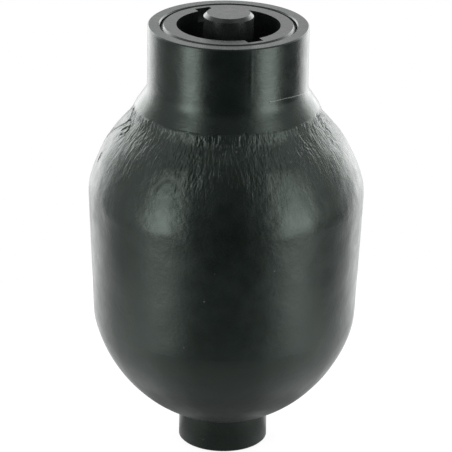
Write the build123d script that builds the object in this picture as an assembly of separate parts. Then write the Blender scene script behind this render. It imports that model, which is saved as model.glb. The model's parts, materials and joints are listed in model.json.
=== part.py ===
from build123d import *
import os
from math import pi, sqrt

# Bladder accumulator: a forged steel pressure vessel with a threaded oil port at its foot and a wide
# threaded mouth at its top. A rubber bladder hangs inside, clamped by its lip under a steel plug. A lock
# ring holds the plug, and the plug carries the gas valve under a protective cap.
# Millimetres. The origin is the centre of the port face, and +Z runs up the vessel's axis.

# ---- driving dimensions: vessel, outside ----
HEIGHT = 190.0
PORT_R = 19.3
PORT_LENGTH = 14.2
PORT_EDGE = 0.6
PORT_ROOT_FILLET = 2.5
DOME_RADIUS = 62.0
KNUCKLE_R = 57.0
KNUCKLE_Z = 58.8
KNUCKLE_FILLET = 4.0
BELLY_R = 59.4
BELLY_Z = 117.5
BELLY_FILLET = 25.0
SHOULDER_RADIUS = 66.2
SHOULDER_END_R = 49.5
SHOULDER_END_Z = 140.8
SHOULDER_END_FILLET = 20.0
WAIST_R = 41.2
WAIST_Z = 150.6
WAIST_FILLET = 12.0
LIP_R = 39.4
LIP_Z = 154.3
LIP_STEP = 0.4
FLARE_TOP_Z = 162.0
FLARE_FILLET = 8.0
NECK_R = 34.25
NECK_EDGE = 0.5

# ---- driving dimensions: vessel, inside ----
WALL = 8.5
PORT_THREAD_R = 9.32
PORT_THREAD_DEPTH = 15.0
PORT_COUNTERSINK = 0.8
PASSAGE_R = 6.0
SEAT_Z = 22.5
SEAT_FILLET = 6.0
CEILING_Z = 152.0
CEILING_FILLET = 5.0
THROAT_R = 23.0
THROAT_EDGE = 2.0
LEDGE_Z = 158.0
PLUG_BORE_R = 27.8
MOUTH_THREAD_R = 29.0
MOUTH_THREAD_Z = 172.0
MOUTH_CHAMFER = 0.5

# ---- driving dimensions: bladder and its button ----
RUBBER = 2.4
BLADDER_GAP = 3.0
BLADDER_NECK_R = 22.6
BLADDER_NECK_Z = 150.0
BLADDER_NECK_FILLET = 12.0
BEAD_R = 27.5
BEAD_HEIGHT = 5.0
BEAD_EDGE = 1.0
BUTTON_R = 13.0
BUTTON_THICKNESS = 3.0
BUTTON_DIMPLE_R = 2.4

# ---- driving dimensions: gas plug and lock ring ----
PLUG_R = 27.6
PLUG_TOP_Z = 173.0
SPIGOT_R = 20.0
SPIGOT_Z = 156.0
GROOVE_LOW_Z = 165.5
GROOVE_TOP_Z = 170.0
BACKUP_HEIGHT = 1.4
GROOVE_FLOOR_R = 25.3
HUB_R = 11.0
HUB_TOP_Z = 181.0
HUB_FLATS = 19.0
HUB_FLATS_Z = 175.0
GAS_PASSAGE_R = 2.0
RING_R = 28.95
RING_BORE_R = 22.0
RING_CHAMFER = 1.65
RING_EDGE = 0.8
SLOT_WIDTH = 7.0
SLOT_DEPTH = 5.0
SLOT_R = 25.3
SLOT_ANGLE = -63.1

# ---- driving dimensions: gas valve ----
VALVE_THREAD_R = 8.0
VALVE_SEAT_Z = 167.6
VALVE_NOSE_R = 6.0
VALVE_NOSE_HEIGHT = 2.4
THREAD_GAP = 0.05
HEX_FLATS = 17.0
HEX_HEIGHT = 3.0
STEM_R = 7.0
STEM_TOP_Z = 188.5
TIP_R = 3.85
TIP_TOP_Z = 191.3
CORE_BORE_R = 2.6
CORE_BORE_Z = 172.5
VALVE_PASSAGE_R = 1.5
SEAL_CAP_FLATS = 10.0
SEAL_CAP_TOP_Z = 192.6
SEAL_GASKET = 0.6
CAP_R = 10.6
CAP_TOP_Z = 195.3
CAP_GAP = 0.1
CAP_CHAMFER = 1.45
CAP_RING_R = 8.8
CAP_RING_Z = 185.8
CAP_THREAD_TOP_Z = 189.0
CAP_ROOM_R = 6.4
CAP_ROOM_TOP_Z = 193.0

# ---- driving dimensions: valve core ----
CORE_TOP_Z = 190.0
CORE_THREAD_R = 2.55
CORE_THREAD_Z = 187.5
BARREL_R = 1.9
BARREL_LOW_Z = 178.5
SPRING_SEAT_Z = 181.5
SPRING_ROOM_R = 1.5
GUIDE_R = 0.78
CORE_SEAL_Z = 182.0
CORE_SEAL_HEIGHT = 2.0
PIN_R = 0.7
PIN_TOP_Z = 190.9
PIN_COLLAR_R = 1.4
PIN_COLLAR_Z = 188.3
PIN_COLLAR_HEIGHT = 0.7
POPPET_R = 2.0
POPPET_Z = 176.0
POPPET_FLOOR = 1.4
POPPET_RIM = 0.3
POPPET_HEIGHT = 2.0
RIVET_R = 1.1
RIVET_HEIGHT = 0.4
SPRING_R = 1.1
SPRING_WIRE_R = 0.18
SPRING_TURNS = 7


# ---- half sections: x is the radius, y is the height ----
def band(r0, r1, z0, z1):
    """A rectangle from radius r0 to r1 and from height z0 to z1."""
    return Pos((r0 + r1) / 2, (z0 + z1) / 2) * Rectangle(r1 - r0, z1 - z0)


def outline(*points):
    """A closed straight-sided section."""
    return make_face(Polyline(*points, close=True))


def rounded(section, corner, radius):
    """The section with the corner nearest to the given point rounded."""
    vertex = section.vertices().sort_by_distance((corner[0], corner[1], 0))[0]
    return fillet(vertex, radius)


def turned(section):
    """The solid that a half section sweeps round the vessel's axis."""
    return revolve(Plane.XZ * section, axis=Axis.Z)


def ring_section(r_centre, z_centre, radius):
    """The round section of an O-ring."""
    return Pos(r_centre, z_centre) * Circle(radius)


def hexagon(flats, z0, z1):
    """A hexagon bar with the given size across flats."""
    bar = extrude(RegularPolygon(flats / 2, 6, major_radius=False), z1 - z0)
    return Pos(0, 0, z0) * bar


# ---- vessel ----
def dome_centre():
    """The centre of the dome's arc, which runs from the port to the knuckle."""
    chord_r = KNUCKLE_R - PORT_R
    chord_z = KNUCKLE_Z - PORT_LENGTH
    chord = sqrt(chord_r**2 + chord_z**2)
    rise = sqrt(DOME_RADIUS**2 - chord**2 / 4)
    middle_r = (PORT_R + KNUCKLE_R) / 2
    middle_z = (PORT_LENGTH + KNUCKLE_Z) / 2
    return middle_r - rise * chord_z / chord, middle_z + rise * chord_r / chord


def dome_edge(start, end, radius):
    """The arc of a dome concentric with the outer one, from start to end."""
    centre_r, centre_z = dome_centre()
    middle_r = (start[0] + end[0]) / 2 - centre_r
    middle_z = (start[1] + end[1]) / 2 - centre_z
    reach = radius / sqrt(middle_r**2 + middle_z**2)
    middle = (centre_r + middle_r * reach, centre_z + middle_z * reach)
    return ThreePointArc(start, middle, end)


def shell_outside():
    """The vessel's outer half section, solid to the axis."""
    port = (PORT_R, PORT_LENGTH)
    knuckle = (KNUCKLE_R, KNUCKLE_Z)
    belly = (BELLY_R, BELLY_Z)
    shoulder = (SHOULDER_END_R, SHOULDER_END_Z)
    waist = (WAIST_R, WAIST_Z)
    forged_lip = (LIP_R + LIP_STEP, LIP_Z)
    flare_top = (NECK_R, FLARE_TOP_Z)
    edges = [
        Line((0, 0), (PORT_R - PORT_EDGE, 0)),
        Line((PORT_R - PORT_EDGE, 0), (PORT_R, PORT_EDGE)),
        Line((PORT_R, PORT_EDGE), port),
        dome_edge(port, knuckle, DOME_RADIUS),
        Line(knuckle, belly),
        RadiusArc(belly, shoulder, -SHOULDER_RADIUS),
        Line(shoulder, waist),
        Line(waist, forged_lip),
        Line(forged_lip, (LIP_R, LIP_Z)),
        Line((LIP_R, LIP_Z), flare_top),
        Line(flare_top, (NECK_R, HEIGHT - NECK_EDGE)),
        Line((NECK_R, HEIGHT - NECK_EDGE), (NECK_R - NECK_EDGE, HEIGHT)),
        Line((NECK_R - NECK_EDGE, HEIGHT), (0, HEIGHT)),
        Line((0, HEIGHT), (0, 0)),
    ]
    section = make_face(edges)
    section = rounded(section, port, PORT_ROOT_FILLET)
    section = rounded(section, knuckle, KNUCKLE_FILLET)
    section = rounded(section, belly, BELLY_FILLET)
    section = rounded(section, shoulder, SHOULDER_END_FILLET)
    section = rounded(section, waist, WAIST_FILLET)
    return rounded(section, flare_top, FLARE_FILLET)


def cavity_section():
    """The room that the bladder fills: the forging's outer form moved in by the wall."""
    top_r = BLADDER_NECK_R
    slope = (SHOULDER_END_R - WAIST_R) / (WAIST_Z - SHOULDER_END_Z)
    top = (top_r, SHOULDER_END_Z + (SHOULDER_END_R - top_r) / slope)
    centre_r, centre_z = dome_centre()
    pole = (0, centre_z - sqrt(DOME_RADIUS**2 - centre_r**2))
    knuckle = (KNUCKLE_R, KNUCKLE_Z)
    belly = (BELLY_R, BELLY_Z)
    shoulder = (SHOULDER_END_R, SHOULDER_END_Z)
    half = [
        dome_edge(pole, knuckle, DOME_RADIUS),
        Line(knuckle, belly),
        RadiusArc(belly, shoulder, -SHOULDER_RADIUS),
        Line(shoulder, top),
    ]
    across = Line(top, (-top[0], top[1]))
    envelope = make_face(half + [across] + [mirror(edge, about=Plane.YZ) for edge in half])
    inner = offset(envelope, -WALL, kind=Kind.INTERSECTION)
    room = inner & band(0, BELLY_R, SEAT_Z, CEILING_Z)
    seat_corner = room.vertices().filter_by_position(Axis.Y, SEAT_Z - 0.01, SEAT_Z + 0.01)
    room = fillet(seat_corner.sort_by(Axis.X)[-1], SEAT_FILLET)
    ceiling_corner = room.vertices().filter_by_position(Axis.Y, CEILING_Z - 0.01, CEILING_Z + 0.01)
    return fillet(ceiling_corner.sort_by(Axis.X)[-1], CEILING_FILLET)


def shell_inside():
    """Everything cut out of the vessel: port, passage, cavity, throat, plug bore and mouth thread."""
    mouth_r = MOUTH_THREAD_R + MOUTH_CHAMFER
    drill_rise = (PORT_THREAD_R - PASSAGE_R) * 0.6
    port_r = PORT_THREAD_R + PORT_COUNTERSINK
    port = outline(
        (0, 0),
        (port_r, 0),
        (PORT_THREAD_R, PORT_COUNTERSINK),
        (PORT_THREAD_R, PORT_THREAD_DEPTH),
        (PASSAGE_R, PORT_THREAD_DEPTH + drill_rise),
        (PASSAGE_R, SEAT_Z),
        (0, SEAT_Z),
    )
    mouth = outline(
        (0, CEILING_Z),
        (THROAT_R + THROAT_EDGE, CEILING_Z),
        (THROAT_R, CEILING_Z + THROAT_EDGE),
        (THROAT_R, LEDGE_Z),
        (PLUG_BORE_R, LEDGE_Z),
        (PLUG_BORE_R, MOUTH_THREAD_Z),
        (MOUTH_THREAD_R, MOUTH_THREAD_Z),
        (MOUTH_THREAD_R, HEIGHT - MOUTH_CHAMFER),
        (mouth_r, HEIGHT),
        (0, HEIGHT),
    )
    return port + cavity_section() + mouth


def make_shell():
    return turned(shell_outside() - shell_inside())


# ---- bladder ----
def bladder_form():
    """The relaxed bladder's outer section, both halves, with its neck run on upwards."""
    radius = DOME_RADIUS - WALL - BLADDER_GAP
    bottom_z = SEAT_Z + BUTTON_THICKNESS
    centre_r, centre_z = dome_centre()
    bottom = (centre_r + sqrt(radius**2 - (centre_z - bottom_z) ** 2), bottom_z)
    side = (centre_r + radius, centre_z)
    neck = (BLADDER_NECK_R, BLADDER_NECK_Z)
    run = side[0] - neck[0]
    rise = neck[1] - side[1]
    flank_radius = (run**2 + rise**2) / (2 * run)
    top = (BLADDER_NECK_R, HEIGHT)
    half = [
        Line((0, bottom_z), bottom),
        dome_edge(bottom, side, radius),
        RadiusArc(side, neck, -flank_radius),
        Line(neck, top),
    ]
    across = Line(top, (-top[0], top[1]))
    form = make_face(half + [across] + [mirror(edge, about=Plane.YZ) for edge in half])
    for sign in (1, -1):
        form = rounded(form, (sign * bottom[0], bottom[1]), SEAT_FILLET)
        form = rounded(form, (sign * neck[0], neck[1]), BLADDER_NECK_FILLET)
    return form


def make_bladder():
    bead_top = LEDGE_Z + BEAD_HEIGHT
    form = bladder_form()
    bead = band(0, BEAD_R, LEDGE_Z, bead_top)
    for z in (LEDGE_Z, bead_top):
        bead = rounded(bead, (BEAD_R, z), BEAD_EDGE)
    outside = (form & band(0, BELLY_R, 0, bead_top)) + bead
    inside = offset(form, -RUBBER) & band(0, BELLY_R, 0, bead_top)
    return turned(outside - inside)


def make_bladder_button():
    top = SEAT_Z + BUTTON_THICKNESS
    disc = band(0, BUTTON_R, SEAT_Z, top)
    disc = rounded(disc, (BUTTON_R, SEAT_Z), 1.0)
    dimple = outline((0, SEAT_Z), (BUTTON_DIMPLE_R, SEAT_Z), (0, SEAT_Z + BUTTON_DIMPLE_R * 0.6))
    return turned(disc - dimple)


# ---- gas plug and lock ring ----
def make_gas_plug():
    bead_top = LEDGE_Z + BEAD_HEIGHT
    flange = band(0, PLUG_R, bead_top, PLUG_TOP_Z)
    groove = band(GROOVE_FLOOR_R, PLUG_R, GROOVE_LOW_Z, GROOVE_TOP_Z)
    spigot = outline(
        (0, SPIGOT_Z), (SPIGOT_R - 1, SPIGOT_Z), (SPIGOT_R, SPIGOT_Z + 1), (SPIGOT_R, bead_top), (0, bead_top)
    )
    hub = band(0, HUB_R, PLUG_TOP_Z, HUB_TOP_Z)
    passage = band(0, GAS_PASSAGE_R, SPIGOT_Z, VALVE_SEAT_Z)
    countersink = outline((0, SPIGOT_Z), (GAS_PASSAGE_R + 2, SPIGOT_Z), (0, SPIGOT_Z + GAS_PASSAGE_R + 2))
    valve_hole = band(0, VALVE_THREAD_R, VALVE_SEAT_Z, HUB_TOP_Z)
    section = flange + spigot + hub - groove - passage - countersink - valve_hole
    plug = turned(section)
    flat_depth = HUB_R - HUB_FLATS / 2
    height = HUB_TOP_Z - HUB_FLATS_Z
    for side in (1, -1):
        x = side * (HUB_FLATS / 2 + flat_depth / 2)
        plug -= Pos(x, 0, HUB_FLATS_Z + height / 2) * Box(flat_depth, 2 * HUB_R, height)
    return plug


def make_plug_o_ring():
    radius = (PLUG_BORE_R - GROOVE_FLOOR_R) / 2
    z = (GROOVE_LOW_Z + GROOVE_TOP_Z - BACKUP_HEIGHT) / 2
    return turned(ring_section(GROOVE_FLOOR_R + radius, z, radius))


def make_plug_backup_ring():
    return turned(band(GROOVE_FLOOR_R, PLUG_BORE_R, GROOVE_TOP_Z - BACKUP_HEIGHT, GROOVE_TOP_Z))


def make_lock_ring():
    """The threaded ring over the plug, with two opposite spanner slots at its bore."""
    section = outline(
        (RING_BORE_R, PLUG_TOP_Z),
        (RING_R - RING_EDGE, PLUG_TOP_Z),
        (RING_R, PLUG_TOP_Z + RING_EDGE),
        (RING_R, HEIGHT - RING_CHAMFER),
        (RING_R - RING_CHAMFER, HEIGHT),
        (RING_BORE_R, HEIGHT),
    )
    ring = turned(section)
    slot = Pos(0, 0, HEIGHT - SLOT_DEPTH / 2) * Box(2 * SLOT_R, SLOT_WIDTH, SLOT_DEPTH)
    return ring - Rot(0, 0, SLOT_ANGLE) * slot


# ---- gas valve ----
def make_gas_valve_body():
    """Threaded body with a hexagon collar, the cap's thread and the charging thread."""
    thread_r = VALVE_THREAD_R - THREAD_GAP
    shank = outline(
        (0, VALVE_SEAT_Z),
        (VALVE_NOSE_R, VALVE_SEAT_Z),
        (VALVE_NOSE_R, VALVE_SEAT_Z + VALVE_NOSE_HEIGHT),
        (thread_r - 0.8, VALVE_SEAT_Z + VALVE_NOSE_HEIGHT),
        (thread_r, VALVE_SEAT_Z + VALVE_NOSE_HEIGHT + 0.8),
        (thread_r, HUB_TOP_Z),
        (0, HUB_TOP_Z),
    )
    collar_top = HUB_TOP_Z + HEX_HEIGHT
    stem = outline(
        (0, collar_top),
        (STEM_R, collar_top),
        (STEM_R, STEM_TOP_Z - 0.8),
        (STEM_R - 0.8, STEM_TOP_Z),
        (TIP_R, STEM_TOP_Z),
        (TIP_R, TIP_TOP_Z - 0.4),
        (TIP_R - 0.4, TIP_TOP_Z),
        (0, TIP_TOP_Z),
    )
    bore = band(0, CORE_BORE_R, CORE_BORE_Z, TIP_TOP_Z) + band(0, VALVE_PASSAGE_R, VALVE_SEAT_Z, CORE_BORE_Z)
    body = turned(shank) + hexagon(HEX_FLATS, HUB_TOP_Z, collar_top) + turned(stem)
    return body - turned(bore)


def make_valve_body_o_ring():
    radius = (VALVE_THREAD_R - VALVE_NOSE_R) / 2
    return turned(ring_section(VALVE_NOSE_R + radius, VALVE_SEAT_Z + radius, radius))


def make_seal_cap():
    body = hexagon(SEAL_CAP_FLATS, STEM_TOP_Z, SEAL_CAP_TOP_Z)
    room = band(0, TIP_R + THREAD_GAP, STEM_TOP_Z, TIP_TOP_Z + SEAL_GASKET)
    return body - turned(room)


def make_seal_cap_gasket():
    return turned(band(0, TIP_R - 0.2, TIP_TOP_Z, TIP_TOP_Z + SEAL_GASKET))


def make_protective_cap():
    """The turned cap over the valve, screwed on its stem."""
    low_z = HUB_TOP_Z + HEX_HEIGHT + CAP_GAP
    outside = outline(
        (0, low_z),
        (CAP_R - 0.4, low_z),
        (CAP_R, low_z + 0.4),
        (CAP_R, CAP_TOP_Z - CAP_CHAMFER),
        (CAP_R - CAP_CHAMFER, CAP_TOP_Z),
        (0, CAP_TOP_Z),
    )
    ring_room = band(0, CAP_RING_R, low_z, CAP_RING_Z)
    thread = band(0, STEM_R + THREAD_GAP, CAP_RING_Z, CAP_THREAD_TOP_Z)
    room = band(0, CAP_ROOM_R, CAP_THREAD_TOP_Z, CAP_ROOM_TOP_Z)
    return turned(outside - ring_room - thread - room)


def make_cap_o_ring():
    radius = (CAP_RING_R - STEM_R) / 2
    return turned(ring_section(STEM_R + radius, HUB_TOP_Z + HEX_HEIGHT + radius, radius))


# ---- valve core ----
def make_core_barrel():
    outside = outline(
        (0, BARREL_LOW_Z),
        (BARREL_R, BARREL_LOW_Z),
        (BARREL_R, CORE_THREAD_Z),
        (CORE_THREAD_R, CORE_THREAD_Z),
        (CORE_THREAD_R, CORE_TOP_Z),
        (0, CORE_TOP_Z),
    )
    bore = band(0, GUIDE_R, BARREL_LOW_Z, SPRING_SEAT_Z) + band(0, SPRING_ROOM_R, SPRING_SEAT_Z, CORE_TOP_Z)
    return turned(outside - bore)


def make_core_seal():
    return turned(band(BARREL_R, CORE_BORE_R, CORE_SEAL_Z, CORE_SEAL_Z + CORE_SEAL_HEIGHT))


def make_core_pin():
    stem = band(0, PIN_R, POPPET_Z, PIN_TOP_Z)
    collar = band(0, PIN_COLLAR_R, PIN_COLLAR_Z, PIN_COLLAR_Z + PIN_COLLAR_HEIGHT)
    rivet = band(0, RIVET_R, POPPET_Z - RIVET_HEIGHT, POPPET_Z)
    return turned(stem + collar + rivet)


def make_core_poppet():
    """The cup that holds the gasket up against the barrel."""
    cup = band(PIN_R, POPPET_R, POPPET_Z, POPPET_Z + POPPET_HEIGHT)
    room = band(PIN_R, POPPET_R - POPPET_RIM, POPPET_Z + POPPET_FLOOR, POPPET_Z + POPPET_HEIGHT)
    return turned(cup - room)


def make_poppet_gasket():
    return turned(band(PIN_R, POPPET_R - POPPET_RIM, POPPET_Z + POPPET_FLOOR, BARREL_LOW_Z))


def make_core_spring():
    """The coil spring between the barrel's inner step and the pin's collar."""
    height = PIN_COLLAR_Z - SPRING_SEAT_Z - 2 * SPRING_WIRE_R
    coil = Helix(height / SPRING_TURNS, height, SPRING_R)
    start = Plane(origin=coil @ 0, z_dir=coil % 0)
    wire = sweep(start * Circle(SPRING_WIRE_R), path=coil, is_frenet=True)
    return Pos(0, 0, SPRING_SEAT_Z + SPRING_WIRE_R) * wire


NODES = {
    "shell": make_shell,
    "lock_ring": make_lock_ring,
    "gas_plug": make_gas_plug,
    "plug_o_ring": make_plug_o_ring,
    "plug_backup_ring": make_plug_backup_ring,
    "bladder": make_bladder,
    "bladder_button": make_bladder_button,
    "gas_valve_body": make_gas_valve_body,
    "valve_body_o_ring": make_valve_body_o_ring,
    "core_barrel": make_core_barrel,
    "core_seal": make_core_seal,
    "core_pin": make_core_pin,
    "core_poppet": make_core_poppet,
    "poppet_gasket": make_poppet_gasket,
    "core_spring": make_core_spring,
    "seal_cap": make_seal_cap,
    "seal_cap_gasket": make_seal_cap_gasket,
    "protective_cap": make_protective_cap,
    "cap_o_ring": make_cap_o_ring,
}

os.makedirs("parts", exist_ok=True)
for node, make in NODES.items():
    part = make()
    export_step(part, f"parts/{node}.step")

cavity = turned(cavity_section()).volume + pi * THROAT_R**2 * (LEDGE_Z - CEILING_Z)
gas = cavity - make_bladder().volume - make_bladder_button().volume
print("gas volume of the filled bladder, litres:", round(gas / 1e6, 3))
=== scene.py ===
import json
import math
import bpy
import numpy as np
from mathutils import Matrix, Vector, noise


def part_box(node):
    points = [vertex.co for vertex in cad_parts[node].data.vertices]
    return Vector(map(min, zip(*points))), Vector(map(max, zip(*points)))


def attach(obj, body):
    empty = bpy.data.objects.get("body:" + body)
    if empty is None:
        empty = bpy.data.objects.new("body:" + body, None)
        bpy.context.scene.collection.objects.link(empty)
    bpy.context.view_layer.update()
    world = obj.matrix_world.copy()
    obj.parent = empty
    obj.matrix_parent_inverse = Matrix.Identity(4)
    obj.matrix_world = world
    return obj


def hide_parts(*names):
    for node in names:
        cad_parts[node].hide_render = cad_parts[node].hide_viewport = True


# Bladder accumulator: looks. Lengths are in metres, and MM turns millimetres into metres.
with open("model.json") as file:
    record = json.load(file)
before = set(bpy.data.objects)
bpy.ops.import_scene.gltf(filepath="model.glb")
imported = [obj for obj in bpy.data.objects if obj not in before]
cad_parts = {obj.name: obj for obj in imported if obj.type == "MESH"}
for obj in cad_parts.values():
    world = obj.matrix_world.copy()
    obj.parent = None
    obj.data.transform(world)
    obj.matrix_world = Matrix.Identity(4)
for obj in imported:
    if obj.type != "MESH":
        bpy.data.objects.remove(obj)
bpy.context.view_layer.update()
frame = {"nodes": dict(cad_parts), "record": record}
MM = 0.001
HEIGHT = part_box("shell")[1].z

# ---- the vessel's outline, as the CAD has it: radius and height in millimetres ----
PORT = (19.3, 14.2)
PORT_EDGE = 0.6
KNUCKLE = (57.0, 58.8)
BELLY = (59.4, 117.5)
SHOULDER_END = (49.5, 140.8)
WAIST = (41.2, 150.6)
LIP = (39.4, 154.3)
LIP_STEP = 0.4
FLARE_TOP = (34.25, 162.0)
NECK_EDGE = 0.5
DOME_RADIUS = 62.0
SHOULDER_RADIUS = 66.2
WALL = 8.5
THREAD_MINOR_R = 9.32
THREAD_MAJOR_R = 10.45
THREAD_PITCH = 1.814
THREAD_LOW_Z = 0.8
THREAD_HIGH_Z = 15.0
PASSAGE_R = 6.0
SEAT_Z = 22.5
THROAT_R = 23.0
CEILING_Z = 152.0
LEDGE_Z = 158.0
PLUG_BORE_R = 27.8
MOUTH_THREAD_R = 29.0
MOUTH_THREAD_Z = 172.0
MOUTH_CHAMFER = 0.5

# ---- roundings of the mesh, softer than the CAD's where dome meets side and sharper at the port's root ----
PORT_ROOT_R = 0.8
DOME_TO_SIDE_R = 28.0
SIDE_TO_SHOULDER_R = 25.0
SHOULDER_TO_CONE_R = 20.0
CONE_TO_LIP_R = 12.0
FLARE_TO_NECK_R = 8.0
SEAT_FILLET_R = 6.0
CEILING_FILLET_R = 5.0

# ---- how fine the mesh is: distances in millimetres, and points in a ring ----
STEP = 0.05
AROUND = 400
INNER_AROUND = 100
FLARE_ROWS = 0.8
NECK_ROWS = 3.0
CAVITY_ROWS = 6.0
THREAD_ROWS = THREAD_PITCH / 6
# bands of the body from the port up: (top of the band, distance between its rows, points in a row)
BODY_BANDS = (
    (12.7, 3.0, AROUND),
    (15.7, 0.3, AROUND),
    (60.0, 2.8, AROUND),
    (94.0, 3.2, AROUND),
    (108.0, 2.0, AROUND),
    (130.5, 1.0, AROUND),
    (LIP[1], 0.56, 2 * AROUND),
)

# ---- the studio as shiny surfaces mirror it: (degrees from the camera's side, level) ----
ROOM = (
    (0, 0.02),
    (22, 0.035),
    (42, 0.38),
    (60, 0.68),
    (78, 0.75),
    (100, 0.60),
    (118, 0.92),
    (145, 1.05),
    (180, 1.25),
)
NEAR_FLOOR = (
    (0, 0.29),
    (22, 0.30),
    (42, 0.56),
    (60, 0.80),
    (78, 0.70),
    (100, 0.57),
    (118, 0.82),
    (135, 1.45),
    (150, 1.9),
    (180, 0.9),
)
FAR_FLOOR_GAIN = 1.6
FLOOR_BLEND = (85.0, 170.0)
# the port's shade on the floor: (share of its reach, level), its reach, and the bearings where it fades out
PORT_SHADE = ((0, 0.75), (0.22, 0.68), (0.32, 0.46), (0.42, 0.42), (0.52, 0.9), (0.62, 1.05), (1, 1))
PORT_SHADE_REACH = 100.0
PORT_SHADE_GONE = (70.0, 120.0)
# the dark gap on the right, with soft edges: how far down it lies, its half height, bearing and half width
GAP_DROP = 0.29
GAP_HALF_HEIGHT = (0.17, 0.06)
GAP_BEARING = 98.0
GAP_HALF_WIDTH = (36.0, 14.0)
GAP_DARKNESS = (0.3, 0.9)
GAP_TURN = 0.4
OVERHEAD_RISE = (0.3, 0.9)
OVERHEAD_LEVEL = 0.22
WORLD_LEVEL = 0.55
TABLE_R = 200.0
TABLE_THICK = 6.0
TABLE_SIDES = 96
FLOOR_COLOUR = 0.25
FLOOR_GLOW = 0.86
# the lamps' brightness up their height: (height in metres, share of the level)
UPPER = ((-0.3, 1), (0.35, 1), (0.8, 0.58), (1.3, 0.50), (1.9, 0))
LEFT_STRIP = ((-0.72, 0.05), (-0.56, 0.10), (-0.46, 0.34), (-0.38, 0.8), *UPPER)
RIGHT_STRIP = ((-0.72, 0.05), (-0.57, 0.10), (-0.50, 0.30), (-0.42, 0.9), *UPPER)
RIM_FOOT = ((-0.8, 0.25), (-0.5, 0.28), (-0.34, 0.45), (-0.1, 0.68))
LEFT_RIM = (*RIM_FOOT, (0.4, 1.0), (1.2, 0.8), (1.9, 0.0))
RIGHT_RIM = (*RIM_FOOT, (0.4, 0.85), (1.2, 0.55), (1.9, 0.0))
SOFT_EDGE = 0.33


# ---- outlines: dense runs of (radius, height) points ----
def straight(start, end):
    """Points along a straight run, STEP apart."""
    start, end = np.array(start, float), np.array(end, float)
    count = max(2, int(np.linalg.norm(end - start) / STEP) + 1)
    return start + (end - start) * np.linspace(0, 1, count)[:, None]


def arc(start, end, radius, side=1):
    """Points along an arc from start to end. side says which side of the chord its centre is on."""
    start, end = np.array(start, float), np.array(end, float)
    chord = end - start
    length = np.linalg.norm(chord)
    across = np.array([-chord[1], chord[0]]) / length
    centre = (start + end) / 2 + side * across * math.sqrt(radius**2 - length**2 / 4)
    first, last = start - centre, end - centre
    a0, a1 = math.atan2(first[1], first[0]), math.atan2(last[1], last[0])
    turn = (a1 - a0 + math.pi) % (2 * math.pi) - math.pi
    angles = a0 + turn * np.linspace(0, 1, max(3, int(abs(turn) * radius / STEP)))
    return centre + radius * np.stack([np.cos(angles), np.sin(angles)], 1)


def headings(points):
    """The unit direction of travel at each point of a run."""
    step = np.gradient(points, axis=0)
    return step / np.linalg.norm(step, axis=1)[:, None]


def fillet(first, second, radius):
    """Two runs that meet, joined by a tangent arc of that radius."""
    before, after = headings(first)[-1], headings(second)[0]
    side = math.copysign(1, before[0] * after[1] - before[1] * after[0])
    shifted = []
    for run in (first, second):
        ahead = headings(run)
        shifted.append(run + side * radius * np.stack([-ahead[:, 1], ahead[:, 0]], 1))
    gaps = np.linalg.norm(shifted[0][:, None] - shifted[1][None], axis=2)
    i, j = np.unravel_index(gaps.argmin(), gaps.shape)
    bend = arc(first[i], second[j], radius, side)
    return np.vstack([first[:i], bend, second[j + 1:]])


def resampled(points, spacing):
    """A run with its points spacing apart, both ends kept."""
    reach = np.concatenate([[0], np.cumsum(np.linalg.norm(np.diff(points, axis=0), axis=1))])
    at = np.linspace(0, reach[-1], max(2, int(round(reach[-1] / spacing)) + 1))
    return np.stack([np.interp(at, reach, points[:, 0]), np.interp(at, reach, points[:, 1])], 1)


def dome_centre():
    """The centre of the arc from the port to the knuckle."""
    port, knuckle = np.array(PORT), np.array(KNUCKLE)
    chord = knuckle - port
    length = np.linalg.norm(chord)
    rise = math.sqrt(DOME_RADIUS**2 - length**2 / 4)
    return (port + knuckle) / 2 + np.array([-chord[1], chord[0]]) / length * rise

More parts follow.
